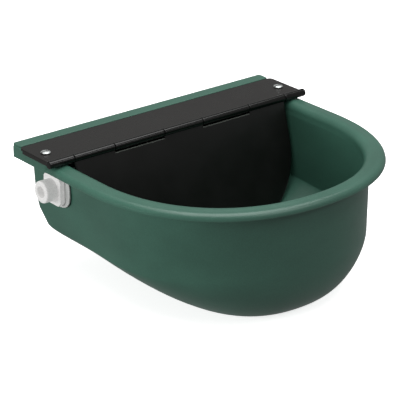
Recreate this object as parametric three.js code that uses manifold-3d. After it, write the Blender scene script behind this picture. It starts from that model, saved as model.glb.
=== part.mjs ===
// Livestock drinking bowl with a built-in float valve, for fixing to a wall.
// Millimetres, +Z up, +X to the right seen from the front, +Y towards the wall.
// Origin: middle of the flat wall face, level with the top of the rear ledge.
import * as THREE from 'three';
import { mergeVertices } from 'three/addons/utils/BufferGeometryUtils.js';
import Module from 'manifold-3d';

const wasm = await Module();
wasm.setup();

// ---------- driving dimensions ----------
const GAP = 0.3; // between touching pieces

// D-shaped outlines: straight sides, then a superellipse round the front.
const SIDE_LENGTH = 113.8; // straight side, measured from the wall face
const BODY = { halfWidth: 128.9, front: 255, exponent: 2.175 };
const LIP_INNER = { halfWidth: 126.7, front: 244.8, exponent: 2.21 };
const LIP_OUTER = { halfWidth: 146.9, front: 263.3, exponent: 2.21 };

const WALL = 2.6;
const FLOOR = 3;
const BOWL_TOP = -4.4; // where the body's wall runs into the ledge and the lip
const DEPTH_BACK = 117.7;
const DEPTH_FRONT = 123.8;
const FLOOR_DROP_START = 73; // distance from the wall where the floor starts to drop
const FLOOR_DROP_END = 187;
const SIDE_ROUND = { across: 91, up: 40.3, exponent: 1.34, draft: 0.034 };
const FRONT_ROUND = { across: 36, up: 54.4, exponent: 2, draft: 0.002 };
const BACK_ROUND = { across: 40, up: 39.5, exponent: 2, draft: 0.044 };
const BACK_CORNER = { top: 6, from: 46, growth: 150, exponent: 2.4, limit: 36 }; // radius, growing with depth

const LIP_TOP = -3.2;
const LIP_BOTTOM = -10.7;
const LIP_SKIN = 3;
const LIP_SLOPE = 0.8; // drop of the lip's top from the inner roll to the outer roll
const OUTER_ROLL = { share: 0.3, height: 5.9 };
const INNER_ROLL = { share: 0.38, height: 7.6 };
const LIP_BACK = -45; // the lip's lofts end here, inside the ledge
const LIP_FLARE_BOTTOM = -16;

const LEDGE = { halfWidth: 147, depth: 57, bottom: -11, skin: 4.7, wall: 2.6, corner: 7 };
const RIB = { halfWidth: 146.4, depth: 12.6, top: 2.2, corner: 2.5 };
const OPENING_BACK = -14.5;
const WALL_HOLE = { x: 85, z: -24, radius: 3.5 };

const PLATE = { halfWidth: 149, back: -13.4, front: -58.8, bottom: GAP, top: 2, corner: 5 };
const APRON = { thickness: 1.7, back: -19, bottom: -2.4 }; // the plate's turned-down ends
const HINGE = { y: -62.8, z: 0.8, radius: 3.7, bore: 1.6, pin: 1.5, left: -151.2, right: 149.6, endWall: 2.4 };
const KNUCKLE_EDGES = { inner: 22.8, outer: 79, end: 124 };
const KNUCKLE_GAP = 0.25;

const FLAP = { tilt: 17, thickness: 2.4, length: 117.2, sideEnd: 40, reach: 81.6, bottomHalf: 34, notch: 5.2,
  clearance: 2.4 };
const FLAP_HALF = { top: 123.7, side: 122.6 };

const SCREW = { x: 137.3, y: -39.2, shank: 2.2, hole: 2.6, head: 4.6, headHeight: 1.7, tip: -11 };
const WASHER = { radius: 5.4, thickness: 1.2 };
const NUT = { flats: 8, thickness: 3.2 };

const INLET = { y: -44, z: -32.2 };
const NIPPLE = { end: -147.3, radius: 10.48, tail: 10, tailEnd: -107, mouth: 5.5, bore: 6 };
const SHOULDER = { halfY: 13, halfZ: 14.5, chamfer: 4, from: -135.2, to: -130.2 };
const FLANGE = { halfY: 20, halfZ: 17.5, exponent: 2.7, from: -129.9, to: -128.6 };
const GASKET = { radius: 14.5, from: -123.9, to: -121.9 };
const LOCK_NUT = { flats: 28, from: -121.6, to: -115.6 };
const STRAINER = { radius: 5.7, skin: 0.9, from: -130, to: -112 };
const VALVE = { radius: 13.5, from: -113, to: -80, seatBore: 5, guideBore: 6.3, chamber: -96 };
const NOZZLE = { radius: 4.7, from: -106, to: -95.6, bore: 1.5 };
const PLUNGER = { radius: 6, from: -88.7, to: -75 };
const DISC = { radius: 5.2, from: -91.5, to: -89 };

const PIVOT = { x: -70, z: -44.2 };
const CHEEK = { inner: 7, outer: 9.5, from: -84, to: -64, bottom: -54.2, top: -26 };
const PIVOT_PIN = { radius: 2, head: 3.6, hole: 2.1 };
const LEVER = { hub: 5, half: 6.2, bossEnd: 24, leg: 2.5, legTop: -27, nose: 3 };
const ARM = { droop: 20, radius: 2.5, from: 11, to: 55, bore: 2.8, nutFlats: 8.4 };
const FLOAT = { from: 56, to: 132, halfY: 18, halfZ: 18, seam: -8, wall: 1.6, corner: 6 };

const ROUND = 24; // sides of a small round piece

// ---------- materials ----------
const finish = (color, roughness, metalness = 0) => new THREE.MeshStandardMaterial({ color, roughness, metalness });
const GREEN = () => finish(0x3f6b5b, 0.45);
const BLACK = () => finish(0x1c1c1b, 0.5);
const PLATE_BLACK = () => finish(0x35332f, 0.5);
const WHITE = () => finish(0xd6d5d3, 0.4);
const STEEL = () => finish(0xc9cbcc, 0.3, 1);
const BRASS = () => finish(0xb08d4a, 0.35, 1);
const RUBBER = () => finish(0x1a1a1a, 0.8);

// ---------- solids ----------
function signedVolume(positions, index) {
  const corner = (i) => new THREE.Vector3().fromArray(positions, 3 * index[i]);
  let volume = 0;
  for (let i = 0; i < index.length; i += 3) {
    volume += corner(i).dot(corner(i + 1).cross(corner(i + 2))) / 6;
  }
  return volume;
}

function solid(geometry) {
  const bare = new THREE.BufferGeometry();
  bare.setAttribute('position', geometry.getAttribute('position'));
  if (geometry.index) bare.setIndex(geometry.index);
  const merged = mergeVertices(bare, 1e-4);
  const vertProperties = merged.getAttribute('position').array;
  const triVerts = Uint32Array.from(merged.index.array);
  if (signedVolume(vertProperties, triVerts) < 0) triVerts.reverse();
  return new wasm.Manifold(new wasm.Mesh({ numProp: 3, vertProperties, triVerts }));
}

function geometryOf(manifold) {
  const { vertProperties, triVerts } = manifold.getMesh();
  const geometry = new THREE.BufferGeometry();
  geometry.setAttribute('position', new THREE.BufferAttribute(vertProperties, 3));
  geometry.setIndex(new THREE.BufferAttribute(triVerts, 1));
  geometry.computeVertexNormals();
  return geometry;
}

const join = (...parts) => parts.reduce((sum, part) => sum.add(part));
const cut = (body, ...tools) => tools.reduce((rest, tool) => rest.subtract(tool), body);

function block(x, y, z) {
  const geometry = new THREE.BoxGeometry(x[1] - x[0], y[1] - y[0], z[1] - z[0]);
  return solid(geometry.translate((x[0] + x[1]) / 2, (y[0] + y[1]) / 2, (z[0] + z[1]) / 2));
}

// A geometry made along +Y, turned so that it runs along the named axis.
function turnTo(axis, geometry) {
  if (axis === 'x') return geometry.rotateZ(-Math.PI / 2);
  if (axis === 'z') return geometry.rotateX(Math.PI / 2);
  return geometry;
}

function rod(axis, radius, from, to, centre, sides = ROUND) {
  const geometry = new THREE.CylinderGeometry(radius, radius, to - from, sides);
  geometry.translate(0, (from + to) / 2, 0);
  return solid(turnTo(axis, geometry).translate(...centre));
}

// A body of revolution: profile points are [radius, place along the axis].
function turned(axis, profile, centre, sides = ROUND) {
  const points = [...profile, profile[0]].map(([radius, along]) => new THREE.Vector2(radius, along));
  return solid(turnTo(axis, new THREE.LatheGeometry(points, sides)).translate(...centre));
}

function hexPrism(axis, flats, from, to, centre) {
  return rod(axis, flats / Math.sqrt(3), from, to, centre, 6);
}

// A flat outline of [x, y] points, raised from z = from to z = to.
function slab(points, from, to) {
  const shape = new THREE.Shape(points.map(([x, y]) => new THREE.Vector2(x, y)));
  const geometry = new THREE.ExtrudeGeometry(shape, { depth: to - from, bevelEnabled: false });
  return solid(geometry.translate(0, 0, from));
}

// A rectangle with rounded corners; radii are [back, front].
function roundedRectangle(halfWidth, back, front, radii, steps = 4) {
  const corners = [
    [halfWidth - radii[0], back - radii[0], radii[0], 0],
    [-halfWidth + radii[0], back - radii[0], radii[0], 1],
    [-halfWidth + radii[1], front + radii[1], radii[1], 2],
    [halfWidth - radii[1], front + radii[1], radii[1], 3],
  ];
  return corners.flatMap(([x, y, radius, quarter]) => {
    if (radius === 0) return [[x, y]];
    return Array.from({ length: steps + 1 }, (_, k) => {
      const angle = (quarter + k / steps) * (Math.PI / 2);
      return [x + radius * Math.cos(angle), y + radius * Math.sin(angle)];
    });
  });
}

// Closed rings of equal length, lowest first, each counter-clockwise from above, capped at both ends.
function loft(rings) {
  const count = rings[0].length;
  const positions = rings.flat();
  const index = [];
  for (let ring = 0; ring + 1 < rings.length; ring++) {
    for (let i = 0; i < count; i++) {
      const low = ring * count;
      const next = (i + 1) % count;
      index.push(low + i, low + next, low + count + next, low + i, low + count + next, low + count + i);
    }
  }
  for (const [ring, upward] of [[0, false], [rings.length - 1, true]]) {
    const centre = positions.length;
    const sum = rings[ring].reduce((total, p) => total.map((value, k) => value + p[k]), [0, 0, 0]);
    positions.push(sum.map((value) => value / count));
    for (let i = 0; i < count; i++) {
      const pair = [ring * count + i, ring * count + ((i + 1) % count)];
      if (!upward) pair.reverse();
      index.push(centre, ...pair);
    }
  }
  const geometry = new THREE.BufferGeometry();
  geometry.setAttribute('position', new THREE.Float32BufferAttribute(positions.flat(), 3));
  geometry.setIndex(index);
  return solid(geometry);
}

// ---------- bowl ----------
const CURVE_STEPS = 28;
const SIDE_STEPS = 4;
const CORNER_STEPS = 6;
const smooth = (t) => t * t * (3 - 2 * t);

// Point and outward normal of a D outline's curved front; angle 0 is the left side, PI the right side.
function frontStation({ halfWidth, front, exponent }, angle) {
  const [c, s] = [Math.cos(angle), Math.max(Math.sin(angle), 0)];
  const reach = front - SIDE_LENGTH;
  const power = 2 / exponent;
  const point = [-Math.sign(c) * halfWidth * Math.abs(c) ** power, -SIDE_LENGTH - reach * s ** power];
  const normal = [-Math.sign(c) * Math.abs(c) ** (2 - power) / halfWidth, -(s ** (2 - power)) / reach];
  const length = Math.hypot(...normal);
  return { point, normal: normal.map((value) => value / length) };
}

const frontAngles = Array.from({ length: CURVE_STEPS + 1 }, (_, k) => (k / CURVE_STEPS) * Math.PI);

function depthAt(y) {
  const t = THREE.MathUtils.clamp((-y - FLOOR_DROP_START) / (FLOOR_DROP_END - FLOOR_DROP_START), 0, 1);
  return DEPTH_BACK + (DEPTH_FRONT - DEPTH_BACK) * smooth(t);
}

// How far a wall has moved in at a height, from its draft and the rounding above the floor.
function moveIn(z, depth, { across, up, exponent, draft }) {
  const t = THREE.MathUtils.clamp((-z - (depth - up)) / up, 0, 1);
  return draft * -z + across * (1 - (1 - t ** exponent) ** (1 / exponent));
}

// The rounding between that of the sides, 0, and that of the front, 1.
function roundAt(front) {
  const names = Object.keys(SIDE_ROUND);
  return Object.fromEntries(names.map((name) => [name,
    THREE.MathUtils.lerp(SIDE_ROUND[name], FRONT_ROUND[name], front)]));
}

// Radius of the back corners at a height.
function cornerAt(z) {
  const { top, from, growth, exponent, limit } = BACK_CORNER;
  const t = THREE.MathUtils.clamp((-z - from) / (DEPTH_BACK - from), 0, 1);
  return Math.min(top + growth * t ** exponent, limit);
}

// A level of the body: 0 at the top, 1 at the floor; wall is 0 outside and WALL inside.
function bodyRing(level, wall, height = null) {
  const floor = wall ? FLOOR : 0;
  const place = (x, y, nx, ny) => {
    const depth = depthAt(y) - floor;
    const z = -level * depth;
    const inset = wall + moveIn(z, depth, roundAt(Math.max(-ny, 0)));
    return [x - nx * inset, y - ny * inset, height ?? z];
  };
  const backDepth = DEPTH_BACK - floor;
  const backY = -wall - moveIn(-level * backDepth, backDepth, BACK_ROUND);
  const left = [];
  const [wallX] = place(-BODY.halfWidth, 0, -1, 0);
  const radius = Math.min(cornerAt(-level * backDepth) - wall, -wallX - 5);
  for (let k = 0; k <= CORNER_STEPS; k++) {
    const angle = (k / CORNER_STEPS) * (Math.PI / 2);
    const x = wallX + radius * (1 - Math.sin(angle));
    left.push([x, backY - radius * (1 - Math.cos(angle)), height ?? -level * backDepth]);
  }
  for (let k = 1; k < SIDE_STEPS; k++) {
    left.push(place(-BODY.halfWidth, THREE.MathUtils.lerp(backY - radius, -SIDE_LENGTH, k / SIDE_STEPS), -1, 0));
  }
  const curve = frontAngles.map((angle) => {
    const { point, normal } = frontStation(BODY, angle);
    return place(...point, ...normal);
  });
  const right = left.map(([x, y, z]) => [-x, y, z]).reverse();
  return [...left, ...curve, ...right];
}

// A level of the lip: share 0 is its inner edge and 1 its outer edge.
function lipRing(share, z) {
  const halfWidth = THREE.MathUtils.lerp(LIP_INNER.halfWidth, LIP_OUTER.halfWidth, share);
  const front = THREE.MathUtils.lerp(LIP_INNER.front, LIP_OUTER.front, share);
  const outline = { halfWidth, front, exponent: LIP_OUTER.exponent };
  const curve = frontAngles.map((angle) => [...frontStation(outline, angle).point, z]);
  return [[-halfWidth, LIP_BACK, z], ...curve, [halfWidth, LIP_BACK, z]];
}

const quarterSteps = (count) => Array.from({ length: count }, (_, k) => ((k + 1) / count) * (Math.PI / 2));

function lipOuterSolid() {
  const { share, height } = OUTER_ROLL;
  const top = LIP_TOP - LIP_SLOPE;
  const roll = quarterSteps(5).map((angle) => {
    return lipRing(1 - share * (1 - Math.cos(angle)), top - height * (1 - Math.sin(angle)));
  });
  const crest = lipRing(INNER_ROLL.share, LIP_TOP);
  return loft([lipRing(0.985, LIP_BOTTOM), lipRing(1, top - height), ...roll, crest]);
}

function lipChannelSolid() {
  const skin = LIP_SKIN / (LIP_OUTER.halfWidth - LIP_INNER.halfWidth);
  const roof = LIP_TOP - LIP_SLOPE - LIP_SKIN;
  return loft([lipRing(1 - skin, LIP_BOTTOM - 5), lipRing(1 - skin, roof - 2), lipRing(1 - 2 * skin, roof)]);
}

// The bowl's mouth: the inner side of the lip rolls over from the wall to the crest.
function mouthSolid() {
  const { share: crest, height: rollHeight } = INNER_ROLL;
  const wallRing = bodyRing(-LIP_FLARE_BOTTOM / (DEPTH_BACK - FLOOR), WALL, LIP_FLARE_BOTTOM);
  const rings = [wallRing.slice(SIDE_STEPS + CORNER_STEPS, -SIDE_STEPS - CORNER_STEPS)];
  const straightEnd = LEDGE.depth + GAP;
  rings[0] = [[rings[0][0][0], -straightEnd, LIP_FLARE_BOTTOM], ...rings[0],
    [-rings[0][0][0], -straightEnd, LIP_FLARE_BOTTOM]];
  const level = (share, z) => lipRing(share, z).map(([x, y]) => [x, Math.min(y, -straightEnd), z]);
  rings.push(level(0, LIP_TOP - rollHeight));
  for (const angle of quarterSteps(5)) {
    rings.push(level(crest * (1 - Math.cos(angle)), LIP_TOP - rollHeight * (1 - Math.sin(angle))));
  }
  rings.push(level(crest, LIP_TOP + 3));
  return loft(rings);
}

function cavitySolid() {
  const top = -LIP_FLARE_BOTTOM / (DEPTH_BACK - FLOOR);
  const levels = [1, 0.99, 0.96, 0.91, 0.84, 0.75, 0.64, 0.51, 0.36, top + 0.001];
  return loft([...levels.map((level) => bodyRing(level, WALL)), bodyRing(top, WALL, BOWL_TOP + 1)]);
}

function outerBodySolid() {
  const levels = [1, 0.99, 0.96, 0.91, 0.84, 0.75, 0.64, 0.51, 0.36, 0.18];
  const top = bodyRing(-BOWL_TOP / DEPTH_BACK, 0, BOWL_TOP);
  return loft([...levels.map((level) => bodyRing(level, 0)), top]);
}

function ledgeSolid() {
  const outer = roundedRectangle(LEDGE.halfWidth, 0, -LEDGE.depth, [0, LEDGE.corner]);
  const inside = LEDGE.halfWidth - LEDGE.wall;
  const hollow = block([-inside, inside], [LEDGE.wall - LEDGE.depth, -LEDGE.wall], [-20, -LEDGE.skin]);
  const rib = roundedRectangle(RIB.halfWidth, 0, -RIB.depth, [0, RIB.corner]);
  return join(cut(slab(outer, LEDGE.bottom, 0), hollow), slab(rib, -1, RIB.top));
}

function bowlSolid() {
  const lip = cut(lipOuterSolid(), lipChannelSolid());
  const shell = join(lip, outerBodySolid(), ledgeSolid());
  const mouthHalf = BODY.halfWidth - WALL;
  const opening = block([-mouthHalf, mouthHalf], [-LEDGE.depth - 3, OPENING_BACK], [-17, 1]);
  const screwHoles = [-SCREW.x, SCREW.x].map((x) => rod('z', SCREW.hole, -20, 1, [x, SCREW.y, 0]));
  const wallHoles = [-WALL_HOLE.x, WALL_HOLE.x].map((x) => rod('y', WALL_HOLE.radius, -12, 2, [x, 0, WALL_HOLE.z]));
  const inletHole = rod('x', NIPPLE.tail + 0.5, -140, -110, [0, INLET.y, INLET.z]);
  return cut(shell, cavitySolid(), mouthSolid(), opening, ...screwHoles, ...wallHoles, inletHole);
}

// ---------- cover plate, flap and hinge ----------
function knuckle(from, to) {
  const half = KNUCKLE_GAP / 2;
  return rod('x', HINGE.radius, from + half, to - half, [0, HINGE.y, HINGE.z]);
}

// The bore stops short of the left end, so that the pin can't leave that way.
const hingeBore = () => rod('x', HINGE.bore, HINGE.left + HINGE.endWall, 160, [0, HINGE.y, HINGE.z]);

function mirrored(spans) {
  return spans.flatMap(([from, to]) => [[from, to], [-to, -from]]);
}

function coverPlateSolid() {
  const outline = roundedRectangle(PLATE.halfWidth, PLATE.back, PLATE.front, [PLATE.corner, 0.5]);
  const { inner, outer, end } = KNUCKLE_EDGES;
  const parts = [slab(outline, PLATE.bottom, PLATE.top)];
  const apron = [PLATE.halfWidth - APRON.thickness, PLATE.halfWidth];
  for (const edges of mirrored([apron])) {
    parts.push(block(edges, [PLATE.front, APRON.back], [APRON.bottom, PLATE.bottom + 0.5]));
  }
  for (const [from, to] of [...mirrored([[inner, outer]]), [end, HINGE.right], [HINGE.left, -end]]) {
    const edges = [Math.max(from + KNUCKLE_GAP, -PLATE.halfWidth), Math.min(to - KNUCKLE_GAP, PLATE.halfWidth)];
    parts.push(knuckle(from, to), block(edges, [HINGE.y, PLATE.front + 1], [PLATE.bottom, PLATE.top]));
  }
  const holes = [-SCREW.x, SCREW.x].map((x) => rod('z', SCREW.hole, -10, 10, [x, SCREW.y, 0]));
  return cut(join(...parts), hingeBore(), ...holes);
}

// Half the bowl's inner width where the flap hangs, at a distance down from the hinge axis.
function bowlHalfAt(down) {
  const tilt = THREE.MathUtils.degToRad(FLAP.tilt);
  const [y, z] = [HINGE.y - down * Math.sin(tilt), HINGE.z - down * Math.cos(tilt)];
  return BODY.halfWidth - WALL - moveIn(z, depthAt(y) - FLOOR, SIDE_ROUND);
}

// Modelled hanging straight down from the hinge axis; the mesh is then tilted forward.
function flapOutline() {
  const points = [[FLAP_HALF.top, 0], [-FLAP_HALF.top, 0], [-FLAP_HALF.side, -FLAP.sideEnd]];
  const steps = 12;
  const lowest = Math.asin((FLAP.length - FLAP.sideEnd) / FLAP.reach);
  const left = Array.from({ length: steps }, (_, k) => {
    const angle = ((k + 1) / steps) * lowest;
    const down = FLAP.sideEnd + FLAP.reach * Math.sin(angle);
    const half = FLAP.bottomHalf + (FLAP_HALF.side - FLAP.bottomHalf) * Math.cos(angle);
    return [-Math.min(half, bowlHalfAt(down) - FLAP.clearance), -down];
  });
  return [...points, ...left, ...left.map(([x, y]) => [-x, y]).reverse(), [FLAP_HALF.side, -FLAP.sideEnd]];
}

function flapSolid() {
  const shape = new THREE.Shape(flapOutline().map(([x, y]) => new THREE.Vector2(x, y)));
  const sheet = new THREE.ExtrudeGeometry(shape, { depth: FLAP.thickness, bevelEnabled: false });
  sheet.translate(0, 0, -FLAP.thickness / 2).rotateX(Math.PI / 2);
  const { inner, outer, end } = KNUCKLE_EDGES;
  const parts = [solid(sheet)];
  for (const [from, to] of [[-inner, inner], ...mirrored([[outer, end]])]) {
    parts.push(rod('x', HINGE.radius, from + KNUCKLE_GAP, to - KNUCKLE_GAP, [0, 0, 0]));
  }
  const notches = mirrored([[inner - KNUCKLE_GAP, outer + KNUCKLE_GAP]])
    .map((span) => block(span, [-5, 5], [-FLAP.notch, 5]));
  return cut(join(...parts), ...notches, rod('x', HINGE.bore, -160, 160, [0, 0, 0]));
}

function screwSolid() {
  const under = PLATE.top + GAP;
  const top = under + SCREW.headHeight;
  const profile = [[0, SCREW.tip], [SCREW.shank, SCREW.tip], [SCREW.shank, under], [SCREW.head, under],
    [SCREW.head, under + 0.6], [SCREW.head * 0.8, top - 0.4], [SCREW.head * 0.45, top], [0, top]];
  const points = profile.map(([radius, z]) => new THREE.Vector2(radius, z));
  const body = solid(new THREE.LatheGeometry(points, ROUND).rotateX(Math.PI / 2));
  return cut(body, block([-6, 6], [-0.6, 0.6], [top - 1, top + 1]));
}

function washerSolid() {
  const top = -LEDGE.skin - GAP;
  const ring = [[SCREW.hole, top - WASHER.thickness], [WASHER.radius, top - WASHER.thickness],
    [WASHER.radius, top], [SCREW.hole, top]];
  return turned('z', ring, [0, 0, 0]);
}

function coverNutSolid() {
  const top = -LEDGE.skin - 2 * GAP - WASHER.thickness;
  const hole = rod('z', SCREW.shank + GAP, -30, 30, [0, 0, 0]);
  return cut(hexPrism('z', NUT.flats, top - NUT.thickness, top, [0, 0, 0]), hole);
}

// ---------- inlet and valve, along X through the left wall ----------
const inletCentre = [0, INLET.y, INLET.z];

function nippleSolid() {
  const chamfer = 0.8;
  const profile = [[NIPPLE.mouth, NIPPLE.end], [NIPPLE.radius - chamfer, NIPPLE.end],
    [NIPPLE.radius, NIPPLE.end + chamfer], [NIPPLE.radius, SHOULDER.from + 1], [NIPPLE.tail, SHOULDER.from + 1],
    [NIPPLE.tail, NIPPLE.tailEnd], [NIPPLE.bore, NIPPLE.tailEnd], [NIPPLE.bore, NIPPLE.end + 4],
    [NIPPLE.mouth, NIPPLE.end + 3]];
  const { halfY, halfZ, chamfer: corner, from, to } = SHOULDER;
  const square = [[1, 1], [-1, 1], [-1, -1], [1, -1]].flatMap(([a, b]) => {
    const ends = [[a * halfZ, b * (halfY - corner)], [a * (halfZ - corner), b * halfY]];
    return a * b > 0 ? ends : ends.reverse();
  });
  const shape = new THREE.Shape(square.map(([a, b]) => new THREE.Vector2(a, b)));
  const plate = new THREE.ExtrudeGeometry(shape, { depth: to - from, bevelEnabled: false });
  plate.rotateY(Math.PI / 2).translate(from, INLET.y, INLET.z);
  const bore = rod('x', NIPPLE.bore, NIPPLE.end + 4, -90, inletCentre);
  return cut(join(turned('x', profile, inletCentre), solid(plate)), bore);
}

function inletFlangeSolid() {
  const { halfY, halfZ, exponent, from, to } = FLANGE;
  const steps = 32;
  const points = Array.from({ length: steps }, (_, k) => {
    const angle = (k / steps) * 2 * Math.PI;
    const bulge = (value) => Math.sign(value) * Math.abs(value) ** (2 / exponent);
    return new THREE.Vector2(halfZ * bulge(Math.cos(angle)), halfY * bulge(Math.sin(angle)));
  });
  const plate = new THREE.ExtrudeGeometry(new THREE.Shape(points), { depth: to - from, bevelEnabled: false });
  plate.rotateY(Math.PI / 2).translate(from, INLET.y, INLET.z);
  return cut(solid(plate), rod('x', NIPPLE.tail + GAP, -160, -90, inletCentre));
}

function ringOnTail(radius, from, to) {
  const bore = NIPPLE.tail + GAP;
  return turned('x', [[bore, from], [radius, from], [radius, to], [bore, to]], inletCentre);
}

function lockNutSolid() {
  const { flats, from, to } = LOCK_NUT;
  return cut(hexPrism('x', flats, from, to, inletCentre), rod('x', NIPPLE.tail + GAP, -160, -90, inletCentre));
}

function strainerSolid() {
  const { radius, skin, from, to } = STRAINER;
  const inner = radius - skin;
  const profile = [[0, to], [radius, to], [radius, from], [inner, from], [inner, to - skin], [0, to - skin]];
  const points = profile.map(([r, x]) => new THREE.Vector2(r, x));
  const cup = solid(turnTo('x', new THREE.LatheGeometry(points, ROUND)).translate(...inletCentre));
  const slots = [-2.2, 0, 2.2].map((offset) => block([to - 2 * skin, to + 1],
    [INLET.y - 3.2, INLET.y + 3.2], [INLET.z + offset - 0.5, INLET.z + offset + 0.5]));
  return cut(cup, ...slots);
}

function valveBodySolid() {
  const { radius, from, to, seatBore, guideBore, chamber } = VALVE;
  const socketEnd = NIPPLE.tailEnd + GAP;
  const profile = [[NIPPLE.tail + GAP, from], [radius, from], [radius, to], [guideBore, to],
    [guideBore, chamber], [seatBore, chamber], [seatBore, socketEnd], [NIPPLE.tail + GAP, socketEnd]];
  const cheeks = [-1, 1].map((side) => {
    const reach = [side * CHEEK.inner, side * CHEEK.outer].sort((a, b) => a - b);
    return block([CHEEK.from, CHEEK.to], reach.map((y) => INLET.y + y), [CHEEK.bottom, CHEEK.top]);
  });
  const stop = block([CHEEK.to - 4, CHEEK.to], [INLET.y - CHEEK.outer, INLET.y + CHEEK.outer],
    [CHEEK.bottom, CHEEK.bottom + 2]);
  const outlet = block([chamber + 0.5, chamber + 6], [INLET.y - 4, INLET.y + 4], [INLET.z - 20, INLET.z]);
  const pinHole = rod('y', PIVOT_PIN.hole, -20, 20, [PIVOT.x, INLET.y, PIVOT.z]);
  const guide = rod('x', guideBore, chamber, CHEEK.to + 1, inletCentre);
  return cut(join(turned('x', profile, inletCentre), ...cheeks, stop), outlet, pinHole, guide);
}

function nozzleSolid() {
  const { radius, from, to, bore } = NOZZLE;
  return turned('x', [[bore, from], [radius, from], [radius, to - 4], [radius - 2, to], [bore, to]], inletCentre);
}

function plungerSolid() {
  const flats = [-1, 1].map((side) => {
    const z = [INLET.z + side * (PLUNGER.radius - 0.8), INLET.z + side * (PLUNGER.radius + 1)];
    return block([PLUNGER.from - 1, PLUNGER.to - 3], [INLET.y - 8, INLET.y + 8], z.sort((a, b) => a - b));
  });
  return cut(rod('x', PLUNGER.radius, PLUNGER.from, PLUNGER.to, inletCentre), ...flats);
}

// ---------- lever and float, made about the pivot with the arm along +X ----------
const droopRadians = THREE.MathUtils.degToRad(ARM.droop);

function leverSolid() {
  const hub = rod('y', LEVER.hub, -LEVER.half, LEVER.half, [0, 0, 0]);
  const boss = rod('x', LEVER.hub, 0, LEVER.bossEnd, [0, 0, 0]);
  const legTop = LEVER.legTop - PIVOT.z;
  const leg = new THREE.BoxGeometry(2 * LEVER.leg, 2 * (LEVER.half - 0.5), legTop);
  leg.translate(0, 0, legTop / 2).rotateY(-droopRadians);
  const noseUp = INLET.z - PIVOT.z;
  const nose = new THREE.CylinderGeometry(LEVER.nose, LEVER.nose, 10, ROUND);
  nose.translate(PLUNGER.to + 0.4 + LEVER.nose - PIVOT.x, 0, noseUp).rotateY(-droopRadians);
  const bore = rod('x', ARM.bore, ARM.from - GAP, LEVER.bossEnd + 1, [0, 0, 0]);
  return cut(join(hub, boss, solid(leg), solid(nose)), rod('y', PIVOT_PIN.hole, -9, 9, [0, 0, 0]), bore);
}

const armRod = () => rod('x', ARM.radius, ARM.from, ARM.to, [0, 0, 0], 16);

function armNutSolid(from) {
  return cut(hexPrism('x', ARM.nutFlats, from, from + 4, [0, 0, 0]), rod('x', ARM.bore, -10, 90, [0, 0, 0], 16));
}

function floatBox(inset, z) {
  const centreX = (FLOAT.from + FLOAT.to) / 2;
  const half = (FLOAT.to - FLOAT.from) / 2 - inset;
  const radius = FLOAT.corner - inset;
  const outline = roundedRectangle(half, FLOAT.halfY - inset, inset - FLOAT.halfY, [radius, radius], 3);
  return slab(outline.map(([x, y]) => [x + centreX, y]), ...z);
}

function floatLowerSolid() {
  const { halfZ, seam, wall } = FLOAT;
  return cut(floatBox(0, [-halfZ, seam]), floatBox(wall, [wall - halfZ, seam + 1]));
}

function floatUpperSolid() {
  const { from, halfZ, seam, wall } = FLOAT;
  const foot = seam + GAP;
  const cup = cut(floatBox(0, [foot, halfZ]), floatBox(wall, [foot - 1, halfZ - wall]));
  const lug = block([42, from + 1], [-7, 7], [foot, 7]);
  const nutPocket = block([50, from], [-5.6, 5.6], [-5.5, 8]);
  return cut(join(cup, lug), nutPocket, rod('x', ARM.bore, 30, from - 0.1, [0, 0, 0], 16));
}

function leverPinSolid() {
  const inside = CHEEK.outer + GAP;
  const head = rod('y', PIVOT_PIN.head, -inside - 1.6, -inside, [0, 0, 0]);
  return join(head, rod('y', PIVOT_PIN.radius, -inside - 1, inside + 2.6, [0, 0, 0]));
}

function leverClipSolid() {
  const [from, bore] = [CHEEK.outer + GAP, PIVOT_PIN.radius + GAP];
  return turned('y', [[bore, from], [4.2, from], [4.2, from + 1], [bore, from + 1]], [0, 0, 0]);
}

// ---------- assembly ----------
function piece(parent, name, manifold, material, position = [0, 0, 0]) {
  const mesh = new THREE.Mesh(geometryOf(manifold), material);
  mesh.name = name;
  mesh.position.set(...position);
  parent.add(mesh);
  return mesh;
}

const drinkingBowl = new THREE.Group();
piece(drinkingBowl, 'bowl', bowlSolid(), GREEN());
piece(drinkingBowl, 'cover_plate', coverPlateSolid(), PLATE_BLACK());
piece(drinkingBowl, 'flap', flapSolid(), BLACK(), [0, HINGE.y, HINGE.z]).rotation.x =
  -THREE.MathUtils.degToRad(FLAP.tilt);
const pinEnds = [HINGE.left + HINGE.endWall + GAP, HINGE.right - 0.5];
piece(drinkingBowl, 'hinge_pin', rod('x', HINGE.pin, ...pinEnds, [0, HINGE.y, HINGE.z]), STEEL());

for (const [side, x] of [['left', -SCREW.x], ['right', SCREW.x]]) {
  piece(drinkingBowl, `cover_screw_${side}`, screwSolid(), STEEL(), [x, SCREW.y, 0]);
  piece(drinkingBowl, `cover_washer_${side}`, washerSolid(), STEEL(), [x, SCREW.y, 0]);
  piece(drinkingBowl, `cover_nut_${side}`, coverNutSolid(), STEEL(), [x, SCREW.y, 0]);
}

const inlet = new THREE.Group();
piece(inlet, 'inlet_nipple', nippleSolid(), WHITE());
piece(inlet, 'inlet_flange', inletFlangeSolid(), WHITE());
piece(inlet, 'inlet_gasket', ringOnTail(GASKET.radius, GASKET.from, GASKET.to), RUBBER());
piece(inlet, 'inlet_lock_nut', lockNutSolid(), WHITE());
piece(inlet, 'inlet_strainer', strainerSolid(), STEEL());
drinkingBowl.add(inlet);

const valve = new THREE.Group();
piece(valve, 'valve_body', valveBodySolid(), WHITE());
piece(valve, 'seat_nozzle', nozzleSolid(), BRASS());
piece(valve, 'plunger', plungerSolid(), WHITE());
piece(valve, 'plunger_disc', rod('x', DISC.radius, DISC.from, DISC.to, inletCentre), RUBBER());
drinkingBowl.add(valve);

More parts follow.
